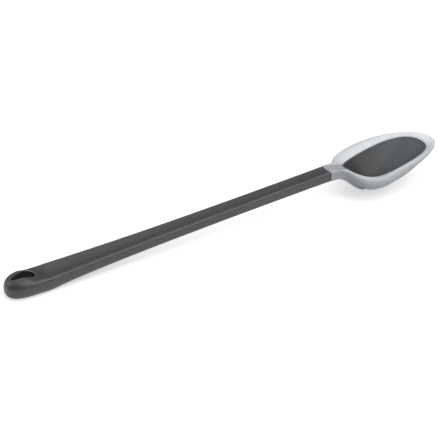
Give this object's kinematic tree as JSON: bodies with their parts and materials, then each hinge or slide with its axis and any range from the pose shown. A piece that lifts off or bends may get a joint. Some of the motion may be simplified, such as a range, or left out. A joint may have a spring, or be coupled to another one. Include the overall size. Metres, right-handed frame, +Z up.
{
  "type": "long spoon",
  "caption": "Long spoon with a fluted dark nylon handle, a hang eye and a deep bowl edged in soft milky silicone, for scraping tall pouches, jars and pans clean.",
  "frame": {"origin": "middle of the spoon's length and width, on the table it lies on", "axes": "+X along the spoon from the handle's end to the bowl's tip, +Z up, out of the open bowl"},
  "size_m": [0.2515, 0.0394, 0.0197],
  "materials": {
    "nylon": "fine matte moulding texture",
    "silicone": "milky translucent, satin"
  },
  "bodies": {
    "root": {"nylon_core": "nylon", "silicone_edge": "silicone"}
  },
  "joints": []
}
